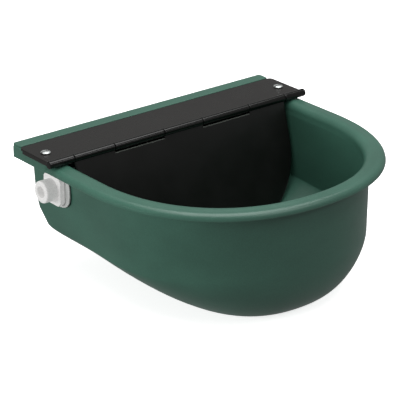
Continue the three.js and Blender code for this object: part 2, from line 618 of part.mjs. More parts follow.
const pivot = new THREE.Group();
pivot.position.set(PIVOT.x, INLET.y, PIVOT.z);
piece(pivot, 'lever_pin', leverPinSolid(), STEEL());
piece(pivot, 'lever_clip', leverClipSolid(), STEEL());
const arm = new THREE.Group();
arm.rotation.y = droopRadians;
piece(arm, 'lever', leverSolid(), WHITE());
piece(arm, 'float_arm', armRod(), BRASS());
piece(arm, 'arm_locknut', armNutSolid(37.6), BRASS());
piece(arm, 'float_nut', armNutSolid(50.5), BRASS());
piece(arm, 'float_upper', floatUpperSolid(), WHITE());
piece(arm, 'float_lower', floatLowerSolid(), WHITE());
pivot.add(arm);
drinkingBowl.add(pivot);

export default drinkingBowl;
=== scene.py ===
"""Looks of a wall-hung livestock drinking bowl with its float valve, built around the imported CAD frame.

Shapes are worked out in millimetres in the frame's own axes: X along the hinge, +Y to the wall, Z up.
"""

import math

import bmesh
import bpy
from mathutils import Matrix, Vector


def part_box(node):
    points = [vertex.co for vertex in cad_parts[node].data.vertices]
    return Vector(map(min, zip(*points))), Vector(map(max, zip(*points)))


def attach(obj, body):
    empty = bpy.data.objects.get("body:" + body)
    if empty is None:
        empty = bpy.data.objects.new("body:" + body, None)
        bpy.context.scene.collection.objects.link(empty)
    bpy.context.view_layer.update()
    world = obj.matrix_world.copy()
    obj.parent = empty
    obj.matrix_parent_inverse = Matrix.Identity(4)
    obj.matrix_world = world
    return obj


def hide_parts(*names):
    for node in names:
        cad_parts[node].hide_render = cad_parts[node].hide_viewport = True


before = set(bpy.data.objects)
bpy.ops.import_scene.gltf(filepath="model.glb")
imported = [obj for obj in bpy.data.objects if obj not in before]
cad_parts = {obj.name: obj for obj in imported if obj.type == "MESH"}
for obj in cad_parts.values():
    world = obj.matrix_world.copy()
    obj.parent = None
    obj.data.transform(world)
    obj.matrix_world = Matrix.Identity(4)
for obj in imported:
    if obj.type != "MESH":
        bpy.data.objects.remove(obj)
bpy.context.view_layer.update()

MM = 0.001


def cad_box(node):
    """Lowest and highest corner of a CAD node, in millimetres."""
    low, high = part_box(node)
    return low / MM, high / MM


# ---------- driving dimensions, from the frame where it has them ----------
BOWL_LOW, BOWL_HIGH = cad_box("bowl")
PLATE_LOW, PLATE_HIGH = cad_box("cover_plate")
PIN_LOW, PIN_HIGH = cad_box("hinge_pin")
SCREW_LOW, SCREW_HIGH = cad_box("cover_screw_right")
NIPPLE_LOW, NIPPLE_HIGH = cad_box("inlet_nipple")

LEDGE_HALF = BOWL_HIGH.x
LIP_FRONT = -BOWL_LOW.y
DEPTH_FRONT = -BOWL_LOW.z
RIB_TOP = BOWL_HIGH.z

# A D outline is a half width and a reach from the wall to the front; its curve starts past SIDE_LENGTH.
SIDE_LENGTH = 113.8
BODY = (128.9, 255.0, 2.175)  # with the exponent of its curve
LIP_INNER = (126.7, 244.8)
LIP_OUTER = (146.9, LIP_FRONT)
LIP_EXPONENT = 2.21
WALL = 2.6
FLOOR = 3.0
DEPTH_BACK = DEPTH_FRONT - 6.1
FLOOR_DROP = (73.0, 187.0)  # distances from the wall between which the floor falls to its full depth
FLOOR_MIDDLE = -112.0
# How a wall turns into the floor: distance across, height, exponent, and the draft of the wall above.
SIDE_ROUND = (91.0, 40.3, 1.34, 0.034)
FRONT_ROUND = (36.0, 54.4, 2.0, 0.002)
BACK_ROUND = (40.0, 39.5, 2.0, 0.044)
# Radius of the upright back corners: at the top, depth where it starts to grow, growth, exponent, limit.
BACK_CORNER = (6.0, 46.0, 150.0, 2.4, 36.0)

LIP_TOP = -3.2
LIP_BOTTOM = -10.7
LIP_SKIN = 3.0
LIP_SLOPE = 0.8  # how much lower the crest is at its outer side
LIP_BEAD = 0.35  # the small bead along the lip's lower edge
# A roll of the lip: its share of the lip's width, and its height.
OUTER_ROLL = (0.3, 5.9)
INNER_ROLL = (0.38, 7.6)
LIP_ENDS = (-50.0, -43.0)  # where the lip starts to shrink and where it is gone, inside the ledge
HIDDEN_TOP = -2.4  # top of the wall behind the lip's end
MOUTH_FLARE = -16.0  # height where the inner wall starts to widen towards the lip

LEDGE_DEPTH = 57.0
LEDGE_BOTTOM = -11.0
LEDGE_SKIN = 4.7
LEDGE_WALL = 2.6
LEDGE_CORNER = 7.0
LEDGE_BACK_CORNER = 2.2
RIB_HALF = LEDGE_HALF - 0.6
RIB_DEPTH = 12.6
OPENING_BACK = -14.5
WALL_HOLE = (85.0, -24.0, 3.5)  # x, z and radius

PLATE_HALF = 149.0
PLATE_BACK = PLATE_HIGH.y
PLATE_FRONT = -58.8
PLATE_LEVELS = (0.3, 2.0)  # its under side and its top
PLATE_CORNER = 5.0
APRON = (1.7, -19.0, -2.4)  # thickness, back and lowest edge of the turned-down ends
HINGE_Y = (PIN_LOW.y + PIN_HIGH.y) / 2
HINGE_Z = (PIN_LOW.z + PIN_HIGH.z) / 2
HINGE_ENDS = (PLATE_LOW.x, PLATE_HIGH.x)
HINGE_WALL = 2.4
BARREL = 3.7
KNUCKLE_EDGES = (22.8, 79.0, 124.0)  # where knuckles of plate and flap meet, from the middle outwards
KNUCKLE_GAP = 0.25
KNUCKLE_ROUND = 0.9
HINGE_BORE = 1.6
HINGE_PIN = 1.5
SCREW_X = (SCREW_LOW.x + SCREW_HIGH.x) / 2
SCREW_Y = (SCREW_LOW.y + SCREW_HIGH.y) / 2
SCREW_TOP = SCREW_HIGH.z
SCREW_UNDER = SCREW_TOP - 1.7
SCREW_TIP = SCREW_LOW.z
SCREW_HOLE = 2.6
SCREW_HEAD = 4.6
SCREW_SHANK = 2.2
SCREW_THREAD = (2.15, 0.7, 0.32)  # crest radius, pitch and depth
SLOT_HALF = 0.6
SLOT_DEPTH = 1.0
WASHER = (5.4, 1.2)  # radius and thickness
COVER_NUT = (8.0, 3.2, 2.5)  # width across flats, height and bore radius

FLAP_TILT = math.radians(17)
FLAP_THICKNESS = 2.4
FLAP_LENGTH = 117.2
FLAP_SIDE_END = 40.0
FLAP_REACH = 81.6  # height of the ellipse that its lower corners follow
FLAP_BOTTOM_HALF = 34.0
FLAP_NOTCH = 5.2  # how far the gaps for the plate's knuckles are cut down
FLAP_CLEARANCE = 2.4
FLAP_HALF = (123.7, 122.6)  # at the hinge, and where the straight side ends
FLAP_BORDER = 2.9
FLAP_FACE_ROUND = 0.4

INLET_Y = (NIPPLE_LOW.y + NIPPLE_HIGH.y) / 2
INLET_Z = (NIPPLE_LOW.z + NIPPLE_HIGH.z) / 2
NIPPLE_END = NIPPLE_LOW.x
NIPPLE_TAIL_END = NIPPLE_HIGH.x
INLET = (0, INLET_Y, INLET_Z)
NIPPLE_RADIUS = 10.48
TAIL_RADIUS = 10.0
TAIL_BORE = TAIL_RADIUS + 0.3
NIPPLE_BORE = (5.5, 6.0)  # radius at the mouth and behind it
MOUTH_DEPTH = 4.0
# Half width, half height and the two x faces of the nipple's square shoulder and of the flange.
SHOULDER = (13.0, 14.5, -135.2, -130.2)
SHOULDER_CORNER = 4.0
FLANGE = (20.0, 17.5, -129.9, -128.6)
FLANGE_EXPONENT = 2.7
GASKET = (14.5, -123.9, -121.9)  # radius and ends
LOCK_NUT = (28.0, -121.6, -115.6)  # width across flats and ends
STRAINER = (5.7, -130.0, -112.0)  # radius and ends
STRAINER_SKIN = 0.9
SLIT = (3.2, 0.5, 2.2)  # half length, half width and spacing

# Radius and ends of the round parts of the valve, along the inlet's axis.
VALVE = (13.5, -113.0, -80.0)
NOZZLE = (4.7, -106.0, -95.6)
NOZZLE_BORE = 1.5
NOZZLE_SEAT = 5.0
NOZZLE_TIP = (2.7, 4.0)  # radius and length of the taper
GUIDE_BORE = 6.3
CHAMBER_FLOOR = -96.0
PLUNGER = (6.0, -88.7, -75.0)
PLUNGER_FLAT = 5.2
PLUNGER_FLAT_END = -78.0
DISC = (5.2, -91.5, -89.0)
# The clevis: its ends along X, and how far its cheeks reach from the valve's middle plane.
CLEVIS_X = (-84.0, -64.0)
CLEVIS_REACH = (7.0, 9.5)
CLEVIS_Z = (-54.2, -26.0)
STOP_SIZE = (4.0, 2.0)  # length and height of the bar that joins the cheeks

PIVOT_X, PIVOT_Z = -70.0, -44.2
PIVOT_HOLE = 2.1
PIN_RADIUS = 2.0
PIN_REACH = 9.8
PIN_HEAD = (3.6, 1.6)  # radius and height
CLIP = (2.3, 4.2, 1.0)  # inner radius, outer radius and thickness

# The lever and float are made about the pivot with the arm along +X, then drooped.
DROOP = math.radians(20)
HUB_RADIUS = 5.0
HUB_HALF = 6.2
BOSS_END = 24.0
LEG = (2.5, 5.7, -27.0)  # half thickness, half width and the height it stands up to
NOSE = (3.0, 5.0, 0.4)  # radius, half length and its gap to the plunger
ARM_BORE = 2.8
ARM_SOCKET = 10.7
ARM = (11.0, 55.0)
ARM_CORE = 1.9
ARM_THREAD = (2.5, 0.9, 0.4)  # crest radius, pitch and depth
ARM_NUT = (8.4, 4.0)  # width across flats and thickness
ARM_NUT_STARTS = (("arm_locknut", 37.6), ("float_nut", 50.5))
FLOAT_MIDDLE = 94.0
FLOAT_HALF = (38.0, 18.0, 18.0)
FLOAT_CORNER = 6.0
FLOAT_WALL = 1.6
FLOAT_SEAM = -8.0
WELD_GAP = 0.3
LUG_X = (42.0, 57.0)
LUG_HALF = 7.0
POCKET_X = (50.0, 56.0)
POCKET_HALF = 5.6


# ---------- mesh building ----------
SMOOTH_LIMIT = math.radians(32)


def smooth_step(t):
    t = min(max(t, 0.0), 1.0)
    return t * t * (3 - 2 * t)


def lerp(a, b, t):
    return a + (b - a) * t


def solid(name, points, faces):
    """A linked object from points in millimetres, its faces turned outwards."""
    mesh = bpy.data.meshes.new(name)
    mesh.from_pydata([Vector(point) * MM for point in points], [], faces)
    edit = bmesh.new()
    edit.from_mesh(mesh)
    bmesh.ops.remove_doubles(edit, verts=edit.verts, dist=1e-7)
    bmesh.ops.recalc_face_normals(edit, faces=edit.faces)
    edit.to_mesh(mesh)
    edit.free()
    piece = bpy.data.objects.new(name, mesh)
    bpy.context.scene.collection.objects.link(piece)
    return piece


def settle(piece):
    """Applies a piece's modifiers to its mesh."""
    graph = bpy.context.evaluated_depsgraph_get()
    mesh = bpy.data.meshes.new_from_object(piece.evaluated_get(graph))
    piece.modifiers.clear()
    piece.data = mesh
    return piece


def combine(operation, piece, *tools):
    """Joins a piece with the tools, or cuts it by them, and uses the tools up."""
    for tool in tools:
        modifier = piece.modifiers.new("combine", "BOOLEAN")
        modifier.object = tool
        modifier.operation = operation
        modifier.solver = "MANIFOLD"
    settle(piece)
    for tool in tools:
        bpy.data.objects.remove(tool)
    return piece


def join(piece, *tools):
    return combine("UNION", piece, *tools)


def cut(piece, *tools):
    return combine("DIFFERENCE", piece, *tools)


def stack(name, rings):
    """Closed rings of equal length, one above the other, capped at both ends."""
    count = len(rings[0])
    points = [point for ring in rings for point in ring]
    faces = []
    for row in range(len(rings) - 1):
        for i in range(count):
            low, high, after = row * count, (row + 1) * count, (i + 1) % count
            faces.append((low + i, low + after, high + after, high + i))
    faces.append(tuple(range(count))[::-1])
    faces.append(tuple(range(len(points) - count, len(points))))
    return solid(name, points, faces)


def turned(name, axis, profile, centre=(0, 0, 0), sides=64):
    """A body of revolution from (radius, place along the axis) points, closed on itself or on the axis."""
    points, faces, rows = [], [], []
    for radius, along in profile:
        count = sides if radius > 1e-6 else 1
        rows.append([len(points) + k for k in range(count)])
        for k in range(count):
            angle = 2 * math.pi * k / sides
            points.append(on_axis(axis, radius * math.cos(angle), radius * math.sin(angle), along, centre))
    for row, after in zip(rows, rows[1:] + rows[:1]):
        for k in range(sides):
            low = [row[k % len(row)], row[(k + 1) % len(row)]]
            high = [after[(k + 1) % len(after)], after[k % len(after)]]
            face = [*dict.fromkeys(low + high)]
            if len(face) > 2:
                faces.append(face)
    return solid(name, points, faces)


def on_axis(axis, u, v, along, centre=(0, 0, 0)):
    place = {"x": (along, u, v), "y": (v, along, u), "z": (u, v, along)}[axis]
    return tuple(p + c for p, c in zip(place, centre))


def rod(name, axis, radius, start, end, centre=(0, 0, 0), edge=0.0, sides=64):
    """A round bar; edge rounds its two rims."""
    profile = rounded([(0, start), (radius, start), (radius, end), (0, end)], edge)
    return turned(name, axis, profile, centre, sides)


def collar(name, axis, inner, outer, start, end, edge, centre=(0, 0, 0), sides=48, steps=3):
    """A flat ring with rounded edges."""
    profile = [(inner, start), (outer, start), (outer, end), (inner, end)]
    return turned(name, axis, rounded(profile, edge, steps, closed=True), centre, sides)


def rounded(corners, radius, steps=4, closed=False):
    """A polyline with its inner corners rounded; a corner is (x, y) or (x, y, its own radius)."""
    result = []
    count = len(corners)
    for i, corner in enumerate(corners):
        own = corner[2] if len(corner) > 2 else radius
        here = Vector(corner[:2])
        if own == 0 or (not closed and i in (0, count - 1)):
            result.append(tuple(here))
            continue
        before = Vector(corners[i - 1][:2]) - here
        after = Vector(corners[(i + 1) % count][:2]) - here
        half = before.angle(after) / 2
        if half > math.radians(89):
            result.append(tuple(here))
            continue
        reach = min(own / math.tan(half), before.length * 0.49, after.length * 0.49)
        start, end = here + before.normalized() * reach, here + after.normalized() * reach
        inner = here + (before.normalized() + after.normalized()).normalized() * (reach / math.cos(half))
        arc = reach * math.tan(half)
        for k in range(steps + 1):
            middle = (start - inner).slerp(end - inner, k / steps)
            result.append(tuple(inner + middle.normalized() * arc))
    return result


def offset(outline, inset):
    """A closed counter-clockwise outline moved in by a distance."""
    result = []
    count = len(outline)
    for i in range(count):
        before, here, after = (Vector(outline[(i + k) % count]) for k in (-1, 0, 1))
        first, second = (here - before).normalized(), (after - here).normalized()
        inwards = Vector((-first.y - second.y, first.x + second.x)).normalized()
        spread = max(inwards.dot(Vector((-first.y, first.x))), 0.5)
        result.append(tuple(here + inwards * (inset / spread)))
    return result


def quarter(steps):
    """A quarter turn as (1 - sine, 1 - cosine) pairs, from (1, 0) to (0, 1)."""
    angles = [k / steps * math.pi / 2 for k in range(steps + 1)]
    return [(1 - math.sin(angle), 1 - math.cos(angle)) for angle in angles]


def slab(name, axis, outline, start, end, edge=0.5, edge_start=None, steps=3):
    """An outline raised along an axis, its rims rounded by edge, or the first one by edge_start."""
    first = edge if edge_start is None else edge_start
    turn = quarter(steps)
    low = [(first * a, start + first * b) for a, b in turn] if first else [(0.0, start)]
    high = [(edge * b, end - edge * a) for a, b in turn] if edge else [(0.0, end)]
    rings = [[on_axis(axis, u, v, along) for u, v in offset(outline, inset)] for inset, along in low + high]
    return stack(name, rings)


def block(name, x, y, z, edge=0.0):
    outline = [(x[0], y[0]), (x[1], y[0]), (x[1], y[1]), (x[0], y[1])]
    return slab(name, "z", rounded(outline, edge, closed=True), z[0], z[1], edge)


def rectangle(half_width, back, front, back_radius, front_radius, steps=8):
    corners = [(half_width, back, back_radius), (-half_width, back, back_radius),
               (-half_width, front, front_radius), (half_width, front, front_radius)]
    return rounded(corners, 0, steps, closed=True)


def shade(piece):
    """Smooth surfaces with crisp edges where faces meet at more than the limit."""
    edit = bmesh.new()
    edit.from_mesh(piece.data)
    for face in edit.faces:
        face.smooth = True
    for edge in edit.edges:
        edge.smooth = len(edge.link_faces) == 2 and edge.calc_face_angle() < SMOOTH_LIMIT
    edit.to_mesh(piece.data)
    edit.free()
    weighted = piece.modifiers.new("even_normals", "WEIGHTED_NORMAL")
    weighted.keep_sharp = True
    weighted.weight = 50
    return piece


def move(piece, matrix):
    piece.data.transform(matrix)
    return piece


def shift_mm(x, y, z):
    return Matrix.Translation(Vector((x, y, z)) * MM)


def accent(piece, material, chosen):
    """Gives the faces that chosen picks, by centre in millimetres and normal, one more material."""
    piece.data.materials.append(material)
    for face in piece.data.polygons:
        if chosen(face.center / MM, face.normal):
            face.material_index = len(piece.data.materials) - 1
    return piece


def finish_piece(piece, body, material, node):
    """Gives a piece its material and its body, and lets it stand for the CAD node."""
    shade(piece)
    piece.data.materials.clear()
    piece.data.materials.append(material)
    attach(piece, body)
    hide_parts(node)
    return piece


# ---------- materials ----------
class Nodes:
    """Short-hand for a material's node tree."""

    def __init__(self, name, **constants):
        self.material = bpy.data.materials.new(name)
        self.material.use_nodes = True
        self.tree = self.material.node_tree
        self.shader = self.tree.nodes["Principled BSDF"]
        for socket, value in constants.items():
            self.shader.inputs[socket.replace("_", " ")].default_value = value
        self.place = self.tree.nodes.new("ShaderNodeTexCoord").outputs["Object"]

    def noise(self, scale, detail=3.0, roughness=0.5, stretch=None):
        node = self.tree.nodes.new("ShaderNodeTexNoise")
        node.inputs["Scale"].default_value = scale
        node.inputs["Detail"].default_value = detail
        node.inputs["Roughness"].default_value = roughness
        place = self.place
        if stretch:
            mapping = self.tree.nodes.new("ShaderNodeMapping")
            mapping.inputs["Scale"].default_value = stretch
            self.link(place, mapping.inputs["Vector"])
            place = mapping.outputs["Vector"]
        self.link(place, node.inputs["Vector"])
        return node.outputs["Fac"]

    def link(self, output, socket):
        self.tree.links.new(output, socket)

    def ramp(self, value, stops):
        node = self.tree.nodes.new("ShaderNodeValToRGB")
        elements = node.color_ramp.elements
        while len(elements) < len(stops):
            elements.new(0.5)
        for element, (position, colour) in zip(elements, stops):
            element.position = position
            element.color = (*colour, 1)
        self.link(value, node.inputs["Fac"])
        return node.outputs["Color"]

    def span(self, value, low, high, from_low=0.3, from_high=0.7):
        node = self.tree.nodes.new("ShaderNodeMapRange")
        node.inputs["From Min"].default_value = from_low
        node.inputs["From Max"].default_value = from_high
        node.inputs["To Min"].default_value = low
        node.inputs["To Max"].default_value = high
        self.link(value, node.inputs["Value"])
        return node.outputs["Result"]

    def mix(self, factor, first, second, blend="MIX"):
        node = self.tree.nodes.new("ShaderNodeMix")
        node.data_type = "RGBA"
        node.blend_type = blend
        colours = [socket for socket in node.inputs if socket.type == "RGBA"]
        for socket, value in zip([node.inputs["Factor"]] + colours, (factor, first, second)):
            if isinstance(value, bpy.types.NodeSocket):
                self.link(value, socket)
            else:
                socket.default_value = value
        return next(socket for socket in node.outputs if socket.type == "RGBA")

    def bump(self, height, distance, strength=1.0, below=None):
        node = self.tree.nodes.new("ShaderNodeBump")
        node.inputs["Strength"].default_value = strength
        node.inputs["Distance"].default_value = distance
        self.link(height, node.inputs["Height"])
        if below:
            self.link(below, node.inputs["Normal"])
        return node.outputs["Normal"]

    def edges(self):
        """High on worn convex edges."""
        geometry = self.tree.nodes.new("ShaderNodeNewGeometry")
        return self.span(geometry.outputs["Pointiness"], 0.0, 1.0, 0.52, 0.6)


def tint(colour, factor):
    return tuple(min(channel * factor, 1.0) for channel in colour)


def moulded(name, colour, roughness, grain=0.00005, variation=0.12, edge_light=1.35, specular=0.5,
            glow=0.0):
    """Moulded plastic: fine spark-eroded grain, slow flow shading and paler rubbed edges.

    The glow is painted light: an emission that stands in for the translucency of a white plastic.
    """
    nodes = Nodes(name, Specular_IOR_Level=specular, Emission_Strength=glow)
    flow = nodes.ramp(nodes.noise(9, 4, 0.55, (1.0, 1.6, 2.6)),
                      [(0.3, tint(colour, 1 - variation)), (0.7, tint(colour, 1 + variation))])
    speckle = nodes.ramp(nodes.noise(1400, 2), [(0.35, (0.9,) * 3), (0.65, (1.1,) * 3)])
    mottled = nodes.mix(1.0, flow, speckle, "MULTIPLY")
    rubbed = nodes.mix(nodes.edges(), mottled, (*tint(colour, edge_light), 1))
    nodes.link(rubbed, nodes.shader.inputs["Base Color"])
    if glow:
        nodes.link(rubbed, nodes.shader.inputs["Emission Color"])
    worn = nodes.noise(35, 5, 0.6)
    nodes.link(nodes.span(worn, roughness - 0.05, roughness + 0.06), nodes.shader.inputs["Roughness"])
    ripple = nodes.bump(nodes.noise(46, 2), 0.00010, 0.22)
    nodes.link(nodes.bump(nodes.noise(1100, 3, 0.6), grain, 1.0, ripple), nodes.shader.inputs["Normal"])
    return nodes.material


def metal(name, colour, roughness, scratches=0.00002):
    """Plated or turned metal: fine scratches and dulled patches."""
    nodes = Nodes(name, Metallic=1.0)
    dull = nodes.noise(60, 4)
    nodes.link(nodes.ramp(dull, [(0.3, tint(colour, 0.82)), (0.7, tint(colour, 1.06))]),
               nodes.shader.inputs["Base Color"])
    nodes.link(nodes.span(dull, roughness - 0.06, roughness + 0.1), nodes.shader.inputs["Roughness"])
    lines = nodes.noise(500, 3, 0.6, (1.0, 6.0, 1.0))
    nodes.link(nodes.bump(lines, scratches, 0.8), nodes.shader.inputs["Normal"])
    return nodes.material


GREEN = moulded("green_polypropylene", (0.040, 0.112, 0.081), 0.35)
PLATE_BLACK = moulded("plate_black_plastic", (0.0046, 0.0040, 0.0032), 0.28, specular=0.5)
FLAP_BLACK = moulded("flap_black_plastic", (0.0034, 0.0031, 0.0028), 0.34, specular=0.4)
# the nipple's white glows: painted light that lifts its shaded sides
WHITE = moulded("white_nylon", (0.47, 0.468, 0.462), 0.38, variation=0.02, edge_light=1.03, glow=0.62)
WHITE_INSIDE = moulded("white_acetal", (0.66, 0.66, 0.64), 0.4, variation=0.03, edge_light=1.03)
WHITE_DULL = moulded("grey_white_nylon", (0.50, 0.513, 0.50), 0.45, variation=0.03, edge_light=1.03)
STEEL = metal("zinc_plated_steel", (0.62, 0.65, 0.64), 0.44)
BRASS = metal("brass", (0.72, 0.5, 0.21), 0.3)
# a darker, glossier copy of the black plastic for the hinge barrel: painted shade on the knuckles
BARREL_PAINTED_SHADE = moulded("hinge_barrel_painted_shade", (0.0026, 0.0028, 0.0024), 0.17, grain=0.00001, specular=0.36)
# a much paler grey for the flap's notch chamfers: a painted highlight where light catches the edge
NOTCH_PAINTED_HIGHLIGHT = moulded("notch_edge_painted_highlight", (0.085, 0.095, 0.085), 0.3)
# near-black for the inside of the screw slots: painted shade, not dirt
SLOT_PAINTED_SHADE = moulded("slot_painted_shade", (0.02, 0.02, 0.018), 0.7, specular=0.2)
RUBBER = moulded("black_rubber", (0.014, 0.014, 0.014), 0.75, grain=0.0001)


# ---------- bowl ----------
CURVE_STEPS = 112
ROUND_STEPS = 18
WALL_STEPS = 5
FLOOR_RINGS = 7
MOUTH_SHARES = (0.3, 0.65)


def front_station(half_width, front, exponent, angle):
    """Point and outward normal of a D outline's curved front; angle 0 is the left side, pi the right."""
    c, s = math.cos(angle), max(math.sin(angle), 0.0)
    reach = front - SIDE_LENGTH
    power = 2 / exponent
    side = -math.copysign(1, c)
    point = Vector((side * half_width * abs(c) ** power, -SIDE_LENGTH - reach * s ** power))
    normal = Vector((side * abs(c) ** (2 - power) / half_width, -(s ** (2 - power)) / reach))
    return point, normal.normalized()


def depth_at(y):
    """The bowl's outer depth at a distance from the wall."""
    start, end = FLOOR_DROP
    return lerp(DEPTH_BACK, DEPTH_FRONT, smooth_step((-y - start) / (end - start)))


def side_stops():
    """Distances from the wall of the stations along a straight side."""
    near = [lerp(BACK_CORNER[0], -LIP_ENDS[1], k / 6) for k in range(7)]
    turn = [lerp(-LIP_ENDS[1], -LIP_ENDS[0], (k + 1) / 6) for k in range(6)]
    mouth = [LEDGE_DEPTH - 3, LEDGE_DEPTH + 0.3]
    return near + turn + mouth + [lerp(LEDGE_DEPTH + 4, SIDE_LENGTH - 4, k / 7) for k in range(8)]


def stations():
    """Round the body from the left back corner to the right one, as (kind, value, side)."""
    corner = [("corner", k / 10) for k in range(10)]
    side = [("side", stop) for stop in side_stops()]
    curve = [("curve", math.pi * k / CURVE_STEPS) for k in range(CURVE_STEPS // 2)]
    left = corner + side + curve
    middle = [("curve", math.pi / 2)]
    right = middle + left[::-1]
    return [(kind, value, -1) for kind, value in left] + [(kind, value, 1) for kind, value in right]


def round_at(front):
    """The floor's rounding between that of the sides, 0, and that of the front, 1."""
    return [lerp(side, middle, front) for side, middle in zip(SIDE_ROUND, FRONT_ROUND)]


def move_in(z, depth, rounding):
    """How far a wall has moved in at a height, from its draft and the rounding above the floor."""
    across, up, exponent, draft = rounding
    t = min(max((-z - (depth - up)) / up, 0.0), 1.0)
    return draft * -z + across * (1 - (1 - t ** exponent) ** (1 / exponent))


def corner_at(z):
    """Radius of the back corners at a height, growing with depth."""
    top, start, growth, exponent, limit = BACK_CORNER
    t = min(max((-z - start) / (DEPTH_BACK - start), 0.0), 1.0)
    return min(top + growth * t ** exponent, limit)


def height_at(depth, rounding, row, top):
    """Height of a row: 0 at the floor, 1 where the rounding ends, 2 at the height top."""
    up, exponent = rounding[1:3]
    if row > 1:
        return lerp(-(depth - up), top, row - 1)
    return -(depth - up + up * min(math.cos(row * math.pi / 2) ** (2 / exponent), 1.0))


def curve_point(angle, wall, floor, row, top):
    """A point of the front curve, given for its left half."""
    spot, normal = front_station(*BODY, angle)
    spot, normal = Vector((-abs(spot.x), spot.y)), Vector((-abs(normal.x), normal.y))
    depth = depth_at(spot.y) - floor
    rounding = round_at(max(-normal.y, 0.0))
    z = height_at(depth, rounding, row, top)
    x, y = spot - normal * (wall + move_in(z, depth, rounding))
    return x, y, z


def rear_point(kind, value, wall, floor, row, top):
    """A point of the left back corner, or of the straight left side."""
    depth = DEPTH_BACK - floor
    rounding = round_at(0.0)
    z = height_at(depth, rounding, row, top)
    x = wall + move_in(z, depth, rounding) - BODY[0]
    back = -wall - move_in(z, depth, BACK_ROUND)
    radius = min(corner_at(z) - wall, -x - 5.0)
    if kind == "corner":
        angle = (1 - value) * math.pi / 2
        return x + radius * (1 - math.cos(angle)), back - radius * (1 - math.sin(angle)), z
    share = (value - BACK_CORNER[0]) / (SIDE_LENGTH - BACK_CORNER[0])
    y = lerp(back - radius, -SIDE_LENGTH, share)
    depth = depth_at(y) - floor
    z = height_at(depth, rounding, row, top)
    return wall + move_in(z, depth, rounding) - BODY[0], y, z


def body_point(station, wall, row, top):
    """A point of the body's wall, outside for wall = 0 and inside for wall = WALL."""
    kind, value, side = station
    floor = FLOOR if wall else 0.0
    if kind == "curve":
        x, y, z = curve_point(value, wall, floor, row, top)
    else:
        x, y, z = rear_point(kind, value, wall, floor, row, top)
    return Vector((-x if side > 0 else x, y, z))


def lip_point(station, share, z):
    """A point of the lip; share is 0 at its inner edge and 1 at its outer edge."""
    kind, value, side = station
    half_width, front = (lerp(inner, outer, share) for inner, outer in zip(LIP_INNER, LIP_OUTER))
    if kind == "curve":
        spot, _ = front_station(half_width, front, LIP_EXPONENT, value)
        x, y = -abs(spot.x), spot.y
    else:
        x, y = -half_width, -value if kind == "side" else 0.0
    return Vector((-x if side > 0 else x, y, z))


def lip_section():
    """The lip from its under-side channel to its crest, as (share, z, blend to the outer wall)."""
    skin = LIP_SKIN / (LIP_OUTER[0] - LIP_INNER[0])
    top = LIP_TOP - LIP_SLOPE
    roof = top - LIP_SKIN
    # from the outer wall along the channel's roof
    rows = [(0.2, roof - 1.6, 0.97), (0.24, roof - 0.5, 0.85), (0.32, roof, 0.6), (0.5, roof, 0.2)]
    # down the inside of the outer skirt
    rows += [(1 - 2.0 * skin, roof, 0), (1 - 1.35 * skin, roof - 0.5, 0), (1 - skin, roof - 1.8, 0)]
    # the skirt's lower edge and its bead
    rows += [(1 - skin, LIP_BOTTOM + 0.4, 0), (1 - 0.9 * skin, LIP_BOTTOM, 0), (0.975, LIP_BOTTOM, 0)]
    bead = LIP_BOTTOM + LIP_BEAD
    rows += [(0.984, LIP_BOTTOM + 0.1, 0), (0.988, bead, 0), (0.992, bead + 0.3, 0)]
    share, height = OUTER_ROLL
    rows += [(1 - share * b, top - height * a, 0) for a, b in quarter(12)]
    crest = INNER_ROLL[0]
    for k in range(1, 5):
        t = k / 5
        rows.append((lerp(1 - share, crest, t), top + LIP_SLOPE * smooth_step(t), 0))
    return rows


def mouth_section():
    """The lip's inner roll, from its crest down into the mouth, with no blend to the outer wall."""
    share, height = INNER_ROLL
    return [(share * b, LIP_TOP - height * a, 0) for a, b in quarter(14)[::-1]]


def lip_rings(places, outer, inner):
    """The lip between the top rings of the outer and the inner wall."""
    rows = lip_section() + mouth_section()
    rings = []
    for number, (share, z, to_wall) in enumerate(rows):
        ring = []
        for station, outside, inside in zip(places, outer, inner):
            above_wall = Vector((outside.x, outside.y, z))
            point = lip_point(station, share, z).lerp(above_wall, to_wall)
            ring.append(tuck(station, point, outside, inside, number / len(rows)))
        rings.append(ring)
    return rings


def shell_rings():
    """The whole skin of bowl and lip, from the middle of the outer floor to the middle of the inner floor."""
    places = stations()
    wall_top = LIP_TOP - LIP_SLOPE - LIP_SKIN - 2
    rows = [k / ROUND_STEPS for k in range(ROUND_STEPS + 1)]
    rows += [1 + (k + 1) / WALL_STEPS for k in range(WALL_STEPS)]
    outer = [[body_point(s, 0.0, row, wall_top) for s in places] for row in rows]
    inner = [[body_point(s, WALL, row, MOUTH_FLARE) for s in places] for row in rows]
    lip = lip_rings(places, outer[-1], inner[-1])
    between = [[a.lerp(b, share) for a, b in zip(lip[-1], inner[-1])] for share in MOUTH_SHARES]
    return floor_rings(outer[0]) + outer + lip + between + inner[::-1] + floor_rings(inner[0])[::-1]


def lip_fade(station):
    """0 where the lip has its whole section, 1 behind its end."""
    kind, value, _ = station
    start, end = (-stop for stop in LIP_ENDS)
    if kind == "side":
        return smooth_step((start - value) / (start - end))
    return 0.0 if kind == "curve" else 1.0


def tuck(station, point, outer, inner, share):
    """Behind the lip's end the section shrinks to the wall's own top, inside the ledge."""
    hidden = outer.lerp(inner, share)
    hidden.z = HIDDEN_TOP - 0.6 * abs(share - 0.5)
    return point.lerp(hidden, lip_fade(station))


def floor_rings(edge):
    """Rings from near the floor's middle out to its edge, following the floor's slope."""
    rings = []
    lift = edge[0].z + depth_at(edge[0].y)
    for k in range(1, FLOOR_RINGS):
        share = (k / FLOOR_RINGS) ** 0.8
        ring = []
        for point in edge:
            x, y = point.x * share, lerp(FLOOR_MIDDLE, point.y, share)
            ring.append(Vector((x, y, lift - depth_at(y))))
        rings.append(ring)
    return rings


